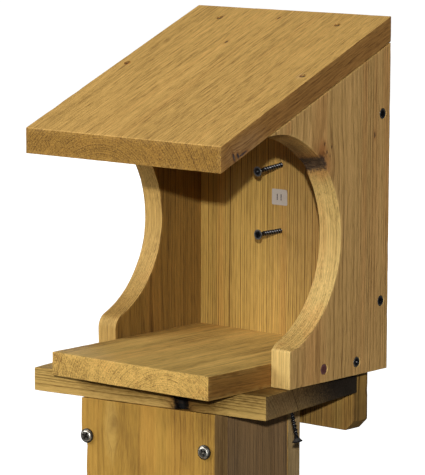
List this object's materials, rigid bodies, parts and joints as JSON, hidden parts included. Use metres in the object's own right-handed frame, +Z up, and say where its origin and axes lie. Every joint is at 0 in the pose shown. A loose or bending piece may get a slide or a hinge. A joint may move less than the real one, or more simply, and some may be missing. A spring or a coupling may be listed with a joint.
{
  "type": "birdhouse",
  "caption": "Open-fronted wooden nesting shelf with a sloped roof and scooped sides, on a square sleeve that drops over a garden post.",
  "frame": {"origin": "middle of the bounding box's bottom face, on the plane of the sleeve's open foot", "axes": "+Z up, +X to the object's right seen from its open front, +Y to its back; the house's boards lie along the axes, and the plate and sleeve are turned 7 degrees counter-clockwise about Z seen from above"},
  "size_m": [0.2352, 0.209, 0.4295],
  "materials": {
    "roof_cedar": "sawn cedar, weathered honey brown, fine dark flecks along the grain",
    "house_cedar": "sawn cedar, fine straight vertical grain, tan",
    "floor_cedar": "sawn cedar, broad flat grain, end grain on the ledge",
    "plate_cedar": "sawn cedar with dark growth lines along it",
    "sleeve_cedar": "blotchy sawn cedar with a faint knot",
    "black_screw": "black phosphated steel",
    "pan_screw": "dark bronzed steel, bright where it is worn",
    "paper": "matt off-white paper sticker, blank"
  },
  "bodies": {
    "root": {"back_board": "house_cedar", "cap_screw_left_front": "black_screw", "cap_screw_left_rear": "black_screw", "cap_screw_right_front": "black_screw", "cap_screw_right_rear": "black_screw", "floor_board": "floor_cedar", "left_back_screw_lower": "black_screw", "left_back_screw_upper": "black_screw", "left_floor_screw_front": "black_screw", "left_floor_screw_rear": "black_screw", "left_side": "house_cedar", "mounting_plate": "plate_cedar", "number_label": "paper", "plate_screw_left": "black_screw", "plate_screw_right": "black_screw", "right_back_screw_lower": "black_screw", "right_back_screw_upper": "black_screw", "right_floor_screw_front": "black_screw", "right_floor_screw_rear": "black_screw", "right_side": "house_cedar", "roof_board": "roof_cedar", "roof_screw_left_front": "black_screw", "roof_screw_left_rear": "black_screw", "roof_screw_right_front": "black_screw", "roof_screw_right_rear": "black_screw", "sleeve_front_board": "sleeve_cedar", "sleeve_front_screw_left_lower": "pan_screw", "sleeve_front_screw_left_upper": "pan_screw", "sleeve_front_screw_right_lower": "pan_screw", "sleeve_front_screw_right_upper": "pan_screw", "sleeve_left_board": "sleeve_cedar", "sleeve_rear_board": "sleeve_cedar", "sleeve_rear_screw_left_lower": "pan_screw", "sleeve_rear_screw_left_upper": "pan_screw", "sleeve_rear_screw_right_lower": "pan_screw", "sleeve_rear_screw_right_upper": "pan_screw", "sleeve_right_board": "sleeve_cedar", "wall_screw_lower": "black_screw", "wall_screw_upper": "black_screw"}
  },
  "joints": []
}
